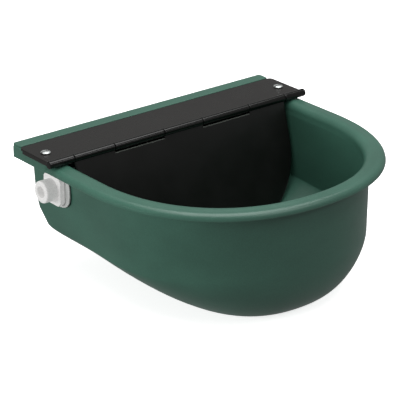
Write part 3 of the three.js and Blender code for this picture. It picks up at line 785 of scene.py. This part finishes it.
def ledge():
    """The flat rear shelf with its skirt, and the raised rib along the wall edge."""
    outline = rectangle(LEDGE_HALF, 0, -LEDGE_DEPTH, LEDGE_BACK_CORNER, LEDGE_CORNER, 10)
    shelf = slab("ledge", "z", outline, LEDGE_BOTTOM, 0.0, 1.0, 0.5, 4)
    inside = LEDGE_HALF - LEDGE_WALL
    depth = (LEDGE_WALL - LEDGE_DEPTH, -LEDGE_WALL)
    hollow = block("hollow", (-inside, inside), depth, (-20, -LEDGE_SKIN), 1.2)
    rib_outline = rectangle(RIB_HALF, 0, -RIB_DEPTH, LEDGE_BACK_CORNER, 2.5, 8)
    rib = slab("rib", "z", rib_outline, -1.5, RIB_TOP, 0.55, 0.0, 5)
    return join(cut(shelf, hollow), rib)


def bowl():
    """Shell, lip and ledge in one moulding, with the float compartment's opening and all holes."""
    shell = join(stack("bowl", shell_rings()), ledge())
    mouth_half = BODY[0] - WALL
    opening = block("opening", (-mouth_half, mouth_half), (-LEDGE_DEPTH - 3, OPENING_BACK), (-17, 1), 0)
    tools = [opening]
    for side in (-1, 1):
        tools.append(rod("screw_hole", "z", SCREW_HOLE, -20, 1, (side * SCREW_X, SCREW_Y, 0)))
        x, z, radius = WALL_HOLE
        tools.append(rod("wall_hole", "y", radius, -12, 2, (side * x, 0, z)))
    tools.append(rod("inlet_hole", "x", TAIL_RADIUS + 0.5, -140, -110, INLET))
    return finish_piece(cut(shell, *tools), "base", GREEN, "bowl")


# ---------- cover plate, flap and hinge ----------
def spans_both_sides(spans):
    return [span for start, end in spans for span in ((start, end), (-end, -start))]


def knuckle(start, end, centre):
    return rod("knuckle", "x", BARREL, start, end, centre, KNUCKLE_ROUND, 48)


def cover_plate():
    """A plate with turned-down ends and its own knuckles along the front edge."""
    bottom, top = PLATE_LEVELS
    outline = rectangle(PLATE_HALF, PLATE_BACK, PLATE_FRONT, PLATE_CORNER, 0.6)
    plate = slab("cover_plate", "z", outline, bottom, top, 0.55, 0.2)
    inner, outer, end = KNUCKLE_EDGES
    thickness, back, low = APRON
    tools = []
    for start, stop in spans_both_sides([(PLATE_HALF - thickness, PLATE_HALF)]):
        tools.append(block("apron", (start, stop), (PLATE_FRONT, back), (low, bottom + 0.5), 0.4))
    centre = (0, HINGE_Y, HINGE_Z)
    left, right = HINGE_ENDS
    for start, stop in [(inner, outer), (-outer, -inner), (end, right), (left, -end)]:
        tools.append(knuckle(start + KNUCKLE_GAP / 2, stop - KNUCKLE_GAP / 2, centre))
        web = (max(start + KNUCKLE_GAP, -PLATE_HALF), min(stop - KNUCKLE_GAP, PLATE_HALF))
        tools.append(block("web", web, (HINGE_Y, PLATE_FRONT + 1), (bottom, top - 0.5), 0.15))
    join(plate, *tools)
    bore = rod("bore", "x", HINGE_BORE, left + HINGE_WALL, 160, centre)
    holes = [rod("hole", "z", SCREW_HOLE, -10, 10, (side * SCREW_X, SCREW_Y, 0)) for side in (-1, 1)]
    finish_piece(cut(plate, bore, *holes), "base", PLATE_BLACK, "cover_plate")
    # the plate's knuckles get the darker copy of its black: painted shade on the barrel
    return accent(plate, BARREL_PAINTED_SHADE, lambda spot, _: spot.y < PLATE_FRONT - 0.35)


def bowl_half_at(down):
    """Half the bowl's inner width where the flap hangs, at a distance down from the hinge axis."""
    y = HINGE_Y - down * math.sin(FLAP_TILT)
    z = HINGE_Z - down * math.cos(FLAP_TILT)
    return BODY[0] - WALL - move_in(z, depth_at(y) - FLOOR, SIDE_ROUND)


def flap_outline():
    """The flap seen from the front: straight sides, then a quarter ellipse kept clear of the bowl."""
    top, side = FLAP_HALF
    steps = 40
    lowest = math.asin((FLAP_LENGTH - FLAP_SIDE_END) / FLAP_REACH)
    right = [(side, -FLAP_SIDE_END)]
    for k in range(steps):
        angle = (k + 1) / steps * lowest
        down = FLAP_SIDE_END + FLAP_REACH * math.sin(angle)
        half = FLAP_BOTTOM_HALF + (side - FLAP_BOTTOM_HALF) * math.cos(angle)
        right.append((min(half, bowl_half_at(down) - FLAP_CLEARANCE), -down))
    left = [(-x, z) for x, z in right]
    return [(top, 0.0), (-top, 0.0)] + left + right[::-1]


def flap():
    """A panel whose front face rolls off to its border, made hanging straight down and then tilted."""
    outline = flap_outline()
    half = FLAP_THICKNESS / 2
    levels = [(FLAP_FACE_ROUND, half), (0.1, half - 0.1), (0.0, half - FLAP_FACE_ROUND)]
    levels += [(FLAP_BORDER * b, (2 * half - 0.7) * a - half) for a, b in quarter(6)]
    rings = [[(x, y, z) for x, z in offset(outline, inset)] for inset, y in levels]
    panel = stack("flap", rings)
    inner, outer, end = KNUCKLE_EDGES
    spans = [(-inner, inner)] + spans_both_sides([(outer, end)])
    join(panel, *[knuckle(start + KNUCKLE_GAP, stop - KNUCKLE_GAP, (0, 0, 0)) for start, stop in spans])
    tools = [rod("bore", "x", HINGE_BORE, -160, 160)]
    for start, stop in spans_both_sides([(inner - KNUCKLE_GAP, outer + KNUCKLE_GAP)]):
        tools.append(block("notch", (start, stop), (-5, 5), (-FLAP_NOTCH, 5)))
        chamfer = block("chamfer", (start, stop), (-0.55, 0.55), (-0.55, 0.55))
        move(chamfer, shift_mm(0, -half, -FLAP_NOTCH) @ Matrix.Rotation(math.pi / 4, 4, "X"))
        tools.append(chamfer)
    cut(panel, *tools)
    move(panel, shift_mm(0, HINGE_Y, HINGE_Z) @ Matrix.Rotation(-FLAP_TILT, 4, "X"))
    finish_piece(panel, "flap", FLAP_BLACK, "flap")

    def from_axis(spot):
        return math.hypot(spot.y - HINGE_Y, spot.z - HINGE_Z)

    # the flap's knuckles get the darker copy of the black: painted shade on the barrel
    accent(panel, BARREL_PAINTED_SHADE, lambda spot, _: from_axis(spot) < BARREL + 0.1)

    def on_chamfer(spot, normal):
        return BARREL + 0.6 < from_axis(spot) < BARREL + 3.5 and normal.z > 0.4 and normal.y < -0.3

    # the notch chamfers get the paler grey: a painted highlight along the notch edges
    return accent(panel, NOTCH_PAINTED_HIGHLIGHT, on_chamfer)


# ---------- small hardware ----------
def hexagon(flats):
    """Corners of a hexagon about the origin."""
    radius = flats / math.sqrt(3)
    turns = [k * math.pi / 3 for k in range(6)]
    return [(-radius * math.sin(turn), radius * math.cos(turn)) for turn in turns]


def hex_nut(name, axis, flats, start, end, bore):
    """A hexagon nut about the axis, with its corners chamfered and its bore countersunk at both ends."""
    nut = slab(name, axis, hexagon(flats), start, end, 0.12, 0.12, 2)
    corner, flat = flats / math.sqrt(3) + 0.2, flats / 2
    drop = (corner - flat) * 0.55
    cone = [(0, start), (flat - 0.1, start), (corner, start + drop),
            (corner, end - drop), (flat - 0.1, end), (0, end)]
    combine("INTERSECT", nut, turned("cone", axis, cone, sides=48))
    sink = 0.45
    wide = bore + sink + 1
    tool = [(0, start - 1), (wide, start - 1), (bore, start + sink), (bore, end - sink), (wide, end + 1),
            (0, end + 1)]
    return cut(nut, turned("sink", axis, tool, sides=48))


def threaded(radius, start, end, pitch, depth):
    """Profile points of a threaded length, as crests and roots."""
    points = []
    turns = int((end - start) / pitch)
    for k in range(turns):
        foot = start + k * pitch
        points += [(radius - depth, foot), (radius - depth, foot + pitch * 0.15),
                   (radius, foot + pitch * 0.45), (radius, foot + pitch * 0.7)]
    return points + [(radius - depth, end)]


def sided(name, side):
    return f"{name}_right" if side > 0 else f"{name}_left"


def at_screw(piece, name, side):
    """Moves a steel piece onto a screw's axis and finishes it."""
    move(piece, shift_mm(side * SCREW_X, SCREW_Y, 0))
    return finish_piece(piece, "base", STEEL, sided(name, side))


def screw(side):
    """A pan-head screw with a slot along X, the inside of the slot painted dark as painted shade."""
    top, under = SCREW_TOP, SCREW_UNDER
    crest, pitch, depth = SCREW_THREAD
    head = rounded([(SCREW_SHANK, under), (SCREW_HEAD, under, 0.2), (SCREW_HEAD, under + 0.75, 0.35),
                    (3.5, top - 0.3, 1.5), (1.8, top, 2.0), (0, top)], 0)
    tip = [(0, SCREW_TIP), (1.5, SCREW_TIP)]
    shank = tip + threaded(crest, SCREW_TIP + 0.6, -1.0, pitch, depth) + [(SCREW_SHANK, -0.6)]
    piece = turned("cover_screw", "z", shank + head, sides=48)
    slot = block("slot", (-6, 6), (-SLOT_HALF, SLOT_HALF), (top - SLOT_DEPTH, top + 1), 0.0)
    at_screw(cut(piece, slot), "cover_screw", side)

    def in_slot(centre, normal):
        if centre.z < top - SLOT_DEPTH - 0.2 or abs(centre.y - SCREW_Y) > SLOT_HALF + 0.02:
            return False
        return centre.z < top - SLOT_DEPTH + 0.1 or abs(normal.y) > 0.9

    # the slot's floor and walls get the near-black material: painted shade in the slot
    return accent(piece, SLOT_PAINTED_SHADE, in_slot)


def washer(side):
    radius, thickness = WASHER
    top = -LEDGE_SKIN - 0.3
    foot = top - thickness
    return at_screw(collar("cover_washer", "z", SCREW_HOLE, radius, foot, top, 0.2), "cover_washer", side)


def cover_nut(side):
    flats, height, bore = COVER_NUT
    top = -LEDGE_SKIN - 1.8
    return at_screw(hex_nut("cover_nut", "z", flats, top - height, top, bore), "cover_nut", side)


def hinge_pin():
    centre = (0, HINGE_Y, HINGE_Z)
    pin = rod("hinge_pin", "x", HINGE_PIN, PIN_LOW.x, PIN_HIGH.x, centre, 0.35, 32)
    return finish_piece(pin, "base", STEEL, "hinge_pin")


# ---------- inlet through the left wall ----------
def at_inlet(piece):
    """Moves a piece made about the origin's X axis onto the inlet's axis."""
    return move(piece, shift_mm(*INLET))


def inlet_nipple():
    """A smooth barrel with its mouth to the left, a tail through the wall and a square shoulder between."""
    mouth, bore = NIPPLE_BORE
    end, tail_end = NIPPLE_END, NIPPLE_TAIL_END
    half_y, half_z, start, stop = SHOULDER
    step = start + 1.5
    profile = [(mouth, end, 0.6), (NIPPLE_RADIUS, end, 1.5), (NIPPLE_RADIUS, step, 0), (TAIL_RADIUS, step, 0),
               (TAIL_RADIUS, tail_end, 0.6), (bore, tail_end, 0.4), (bore, end + MOUTH_DEPTH, 0.3),
               (mouth, end + MOUTH_DEPTH - 1, 0.3)]
    barrel = turned("inlet_nipple", "x", rounded(profile, 0.3, 4, closed=True), INLET, 72)
    corner_y, corner_z = half_y - SHOULDER_CORNER, half_z - SHOULDER_CORNER
    outline = [(half_y, -corner_z), (half_y, corner_z), (corner_y, half_z), (-corner_y, half_z),
               (-half_y, corner_z), (-half_y, -corner_z), (-corner_y, -half_z), (corner_y, -half_z)]
    shoulder = slab("shoulder", "x", rounded(outline, 1.2, 4, closed=True), start, stop, 0.4, 0.9, 4)
    at_inlet(shoulder)
    root = [(8, start - 1.1), (NIPPLE_RADIUS, start - 1.1, 0), (NIPPLE_RADIUS + 0.25, start - 0.3, 0),
            (NIPPLE_RADIUS + 1.1, start + 0.2, 0), (8, start + 0.2)]
    fillet = turned("fillet", "x", rounded(root, 0, closed=True), INLET, 72)
    join(barrel, shoulder, fillet)
    cut(barrel, rod("bore", "x", bore, end + MOUTH_DEPTH, -90, INLET))
    # the nipple's white material glows: painted light
    return finish_piece(barrel, "base", WHITE, "inlet_nipple")


def inlet_flange():
    """A rounded-square plate against the outer wall."""
    half_y, half_z, start, stop = FLANGE
    power = 2 / FLANGE_EXPONENT
    outline = []
    for k in range(96):
        angle = k / 96 * 2 * math.pi
        c, s = math.cos(angle), math.sin(angle)
        y, z = half_y * abs(c) ** power, half_z * abs(s) ** power
        outline.append((math.copysign(y, c), math.copysign(z, s)))
    plate = slab("inlet_flange", "x", outline, start, stop, 0.15, 0.6, 4)
    at_inlet(plate)
    cut(plate, rod("bore", "x", TAIL_BORE, -160, -90, INLET))
    return finish_piece(plate, "base", WHITE_DULL, "inlet_flange")


def inlet_rings():
    """The gasket and the lock nut on the inside of the wall."""
    gasket = collar("inlet_gasket", "x", TAIL_BORE, *GASKET, 0.35, INLET, 72, 4)
    finish_piece(gasket, "base", RUBBER, "inlet_gasket")
    nut = at_inlet(hex_nut("inlet_lock_nut", "x", *LOCK_NUT, TAIL_BORE))
    finish_piece(nut, "base", WHITE_INSIDE, "inlet_lock_nut")


def inlet_strainer():
    """A cup with three slits in its bottom."""
    radius, start, end = STRAINER
    inner, bottom = radius - STRAINER_SKIN, end - STRAINER_SKIN
    profile = [(0, end), (radius, end, 0.6), (radius, start, 0.25), (inner, start, 0.25),
               (inner, bottom, 0.4), (0, bottom)]
    cup = turned("inlet_strainer", "x", rounded(profile, 0), INLET, 48)
    half_length, half_width, spacing = SLIT
    for rise in (-spacing, 0.0, spacing):
        slot_y = (INLET_Y - half_length, INLET_Y + half_length)
        slot_z = (INLET_Z + rise - half_width, INLET_Z + rise + half_width)
        cut(cup, block("slit", (bottom - STRAINER_SKIN, end + 1), slot_y, slot_z, 0.0))
    return finish_piece(cup, "base", STEEL, "inlet_strainer")


# ---------- valve ----------
def clevis_cheek(side):
    """One of the two plates that hold the lever's pin."""
    left, right = CLEVIS_X
    foot, top = CLEVIS_Z
    start, end = sorted(side * reach for reach in CLEVIS_REACH)
    corners = rounded([(left, foot), (right, foot), (right, top), (left, top)], 3.0, 5, closed=True)
    return slab("cheek", "y", [(z, x) for x, z in corners][::-1], INLET_Y + start, INLET_Y + end, 0.5, 0.5, 3)


def valve_body():
    """A turned body with the tail's socket, the nozzle's seat, the plunger's guide and a clevis."""
    radius, start, end = VALVE
    socket_end = NIPPLE_TAIL_END + 0.3
    profile = [(TAIL_BORE, start, 0.3), (radius, start, 0.8), (radius, end, 1.0), (GUIDE_BORE, end, 0.4),
               (GUIDE_BORE, CHAMBER_FLOOR, 0.2), (NOZZLE_SEAT, CHAMBER_FLOOR, 0.2),
               (NOZZLE_SEAT, socket_end, 0.2), (TAIL_BORE, socket_end, 0.3)]
    body = turned("valve_body", "x", rounded(profile, 0, 4, closed=True), INLET, 72)
    for side in (-1, 1):
        join(body, clevis_cheek(side))
    foot, right, outer = CLEVIS_Z[0], CLEVIS_X[1], CLEVIS_REACH[1]
    length, height = STOP_SIZE
    across = (INLET_Y - outer, INLET_Y + outer)
    join(body, block("stop", (right - length, right), across, (foot, foot + height), 0.4))
    outlet = block("outlet", (CHAMBER_FLOOR + 0.5, CHAMBER_FLOOR + 6), (INLET_Y - 4, INLET_Y + 4),
                   (INLET_Z - 20, INLET_Z), 0.5)
    hole = rod("pin_hole", "y", PIVOT_HOLE, -60, -20, (PIVOT_X, 0, PIVOT_Z))
    cut(body, outlet, hole, rod("guide", "x", GUIDE_BORE, CHAMBER_FLOOR, right + 1, INLET))
    return finish_piece(body, "base", WHITE_INSIDE, "valve_body")


def nozzle_and_plunger():
    """The brass nozzle, the plunger with its two flats, and the sealing disc on its face."""
    radius, start, end = NOZZLE
    tip, taper = NOZZLE_TIP
    profile = [(NOZZLE_BORE, start, 0.4), (radius, start, 0.3), (radius, end - taper, 0.5), (tip, end, 0.4),
               (NOZZLE_BORE, end, 0.2)]
    nozzle = turned("seat_nozzle", "x", rounded(profile, 0, 4, closed=True), INLET, 48)
    finish_piece(nozzle, "base", BRASS, "seat_nozzle")
    radius, start, end = PLUNGER
    plunger = rod("plunger", "x", radius, start, end, INLET, 0.5, 48)
    for side in (-1, 1):
        z = sorted((INLET_Z + side * PLUNGER_FLAT, INLET_Z + side * (radius + 1)))
        cut(plunger, block("flat", (start - 1, PLUNGER_FLAT_END), (INLET_Y - 8, INLET_Y + 8), z, 0.0))
    finish_piece(plunger, "plunger", WHITE_INSIDE, "plunger")
    disc = rod("plunger_disc", "x", *DISC, INLET, 0.3, 48)
    finish_piece(disc, "plunger", RUBBER, "plunger_disc")


def lever_pin():
    """The pivot pin with its head to the front and a retaining ring on the wall's side."""
    centre = (PIVOT_X, INLET_Y, PIVOT_Z)
    reach = PIN_REACH
    head, height = PIN_HEAD
    profile = [(0, -reach - height), (head, -reach - height, 0.5), (head, -reach, 0.2),
               (PIN_RADIUS, -reach, 0), (PIN_RADIUS, reach + 2.6, 0.4), (0, reach + 2.6)]
    pin = turned("lever_pin", "y", rounded(profile, 0), centre, 40)
    finish_piece(pin, "base", STEEL, "lever_pin")
    inner, outer, thickness = CLIP
    clip = collar("lever_clip", "y", inner, outer, reach, reach + thickness, 0.2, centre, 40)
    return finish_piece(clip, "base", STEEL, "lever_clip")


# ---------- lever and float ----------
def droop(piece):
    return move(piece, shift_mm(PIVOT_X, INLET_Y, PIVOT_Z) @ Matrix.Rotation(DROOP, 4, "Y"))


def lever():
    """A hub on the pin, a boss for the arm, and an upright leg whose round nose pushes the plunger."""
    hub = rod("lever", "y", HUB_RADIUS, -HUB_HALF, HUB_HALF, edge=0.5, sides=48)
    boss = rod("boss", "x", HUB_RADIUS, 0, BOSS_END, edge=0.6, sides=48)
    half_thickness, half_width, top = LEG
    leg = block("leg", (-half_thickness, half_thickness), (-half_width, half_width), (0, top - PIVOT_Z), 0.5)
    radius, half_length, gap = NOSE
    place = (PLUNGER[2] + gap + radius - PIVOT_X, 0, INLET_Z - PIVOT_Z)
    nose = rod("nose", "y", radius, -half_length, half_length, place, 0.4, 40)
    for piece in (leg, nose):
        move(piece, Matrix.Rotation(-DROOP, 4, "Y"))
    join(hub, boss, leg, nose)
    socket = rod("arm_bore", "x", ARM_BORE, ARM_SOCKET, BOSS_END + 1)
    cut(hub, rod("pin_hole", "y", PIVOT_HOLE, -9, 9), socket)
    return finish_piece(droop(hub), "float_lever", WHITE_INSIDE, "lever")


def float_arm():
    """The threaded rod with its two nuts."""
    start, end = ARM
    crest, pitch, depth = ARM_THREAD
    thread = threaded(crest, start + 0.6, end - 0.6, pitch, depth)
    profile = [(0, start), (ARM_CORE, start)] + thread + [(ARM_CORE, end), (0, end)]
    arm = droop(turned("float_arm", "x", profile, sides=32))
    finish_piece(arm, "float_lever", BRASS, "float_arm")
    flats, thickness = ARM_NUT
    for name, place in ARM_NUT_STARTS:
        nut = hex_nut(name, "x", flats, place, place + thickness, ARM_BORE)
        finish_piece(droop(nut), "float_lever", BRASS, name)


def float_box(name, inset, low, high, edge_low, edge_high):
    """A rounded box about the float's middle, its sides moved in by inset."""
    half_x, half_y = FLOAT_HALF[0] - inset, FLOAT_HALF[1] - inset
    corner = FLOAT_CORNER - inset
    outline = rectangle(half_x, half_y, -half_y, corner, corner)
    piece = slab(name, "z", outline, low, high, edge_high, edge_low, 5)
    return move(piece, shift_mm(FLOAT_MIDDLE, 0, 0))


def float_halves():
    """Two hollow halves that meet at the weld seam; the upper one has the lug and its nut pocket."""
    seam, wall, half_z = FLOAT_SEAM, FLOAT_WALL, FLOAT_HALF[2]
    lower = float_box("float_lower", 0, -half_z, seam, 3.0, 0.25)
    cut(lower, float_box("inside", wall, wall - half_z, seam + 3, 2.0, 0.0))
    finish_piece(droop(lower), "float_lever", WHITE_INSIDE, "float_lower")
    foot = seam + WELD_GAP
    upper = float_box("float_upper", 0, foot, half_z, 0.25, 3.0)
    cut(upper, float_box("inside", wall, foot - 3, half_z - wall, 0.0, 2.0))
    join(upper, block("lug", LUG_X, (-LUG_HALF, LUG_HALF), (foot, LUG_HALF), 0.6))
    pocket = block("pocket", POCKET_X, (-POCKET_HALF, POCKET_HALF), (-5.5, LUG_HALF + 1), 0.0)
    cut(upper, pocket, rod("arm_bore", "x", ARM_BORE, 30, 55.9))
    return finish_piece(droop(upper), "float_lever", WHITE_INSIDE, "float_upper")


# ---------- stage, lights, camera ----------
WORLD_LIGHT = 0.29
FLOOR_GLOW = 0.95
# Name, size, power, place and target of each area light, and whether surfaces mirror it.
LIGHTS = (
    ("overhead", (1.7, 1.7), 32.0, (0.1, -0.2, 1.5), (0, -0.12, 0)),
    ("left_card", (1.2, 0.6), 20.0, (-1.7, 0.35, 0.2), (0, -0.1, -0.05), False),
    ("front_strip", (1.4, 0.3), 5.5, (0.5, -1.6, 1.2), (0, -0.2, 0)),
)

CAMERA_AZIMUTH = math.radians(-38.733)
CAMERA_ELEVATION = math.radians(23.299)
CAMERA_DISTANCE = 1.875
CAMERA_TARGET = Vector((0.00047, -0.08829, -0.06446))
CAMERA_LENS = 181.45
CAMERA_SENSOR = 36


def add_camera():
    """Eye level and heading of a viewer in front and to the left."""
    level = math.cos(CAMERA_ELEVATION)
    back = Vector((math.sin(CAMERA_AZIMUTH) * level, -math.cos(CAMERA_AZIMUTH) * level,
                   math.sin(CAMERA_ELEVATION)))
    data = bpy.data.cameras.new("camera")
    data.lens = CAMERA_LENS
    data.sensor_width = CAMERA_SENSOR
    camera = bpy.data.objects.new("camera", data)
    bpy.context.scene.collection.objects.link(camera)
    camera.location = CAMERA_TARGET + back * CAMERA_DISTANCE
    camera.rotation_euler = (-back).to_track_quat("-Z", "Y").to_euler()
    bpy.context.scene.camera = camera


def add_light(name, size, energy, location, target, mirrored=True):
    data = bpy.data.lights.new(name, "AREA")
    data.shape = "RECTANGLE"
    data.size, data.size_y = size
    data.energy = energy
    light = bpy.data.objects.new(name, data)
    light.visible_glossy = mirrored
    bpy.context.scene.collection.objects.link(light)
    light.location = location
    light.rotation_euler = (Vector(target) - Vector(location)).to_track_quat("-Z", "Y").to_euler()


def add_floor():
    """A pale back-lit table that throws little light up at the bowl and takes only a faint shadow."""
    reach, level = 6000, BOWL_LOW.z - 0.2
    corners = [(-reach, -reach, level), (reach, -reach, level), (reach, reach, level), (-reach, reach, level)]
    floor = solid("floor", corners, [(0, 1, 2, 3)])
    nodes = Nodes("floor_table", Roughness=0.9, Specular_IOR_Level=0.05, Emission_Strength=FLOOR_GLOW)
    paper = nodes.ramp(nodes.noise(3, 2), [(0.3, (0.80,) * 3), (0.7, (0.82,) * 3)])
    nodes.link(paper, nodes.shader.inputs["Base Color"])
    nodes.link(paper, nodes.shader.inputs["Emission Color"])
    floor.data.materials.append(nodes.material)
    floor.visible_diffuse = False
    floor.visible_glossy = False


def add_world():
    world = bpy.data.worlds.new("studio")
    world.use_nodes = True
    background = world.node_tree.nodes["Background"]
    background.inputs["Color"].default_value = (1, 1, 1, 1)
    background.inputs["Strength"].default_value = WORLD_LIGHT
    bpy.context.scene.world = world


def add_stage():
    add_floor()
    add_world()
    for light in LIGHTS:
        add_light(*light)
    bpy.context.scene.view_settings.view_transform = "Standard"


def build():
    bowl()
    cover_plate()
    flap()
    hinge_pin()
    for side in (-1, 1):
        screw(side)
        washer(side)
        cover_nut(side)
    inlet_nipple()
    inlet_flange()
    inlet_rings()
    inlet_strainer()
    valve_body()
    nozzle_and_plunger()
    lever_pin()
    lever()
    float_arm()
    float_halves()


add_camera()
add_stage()
build()
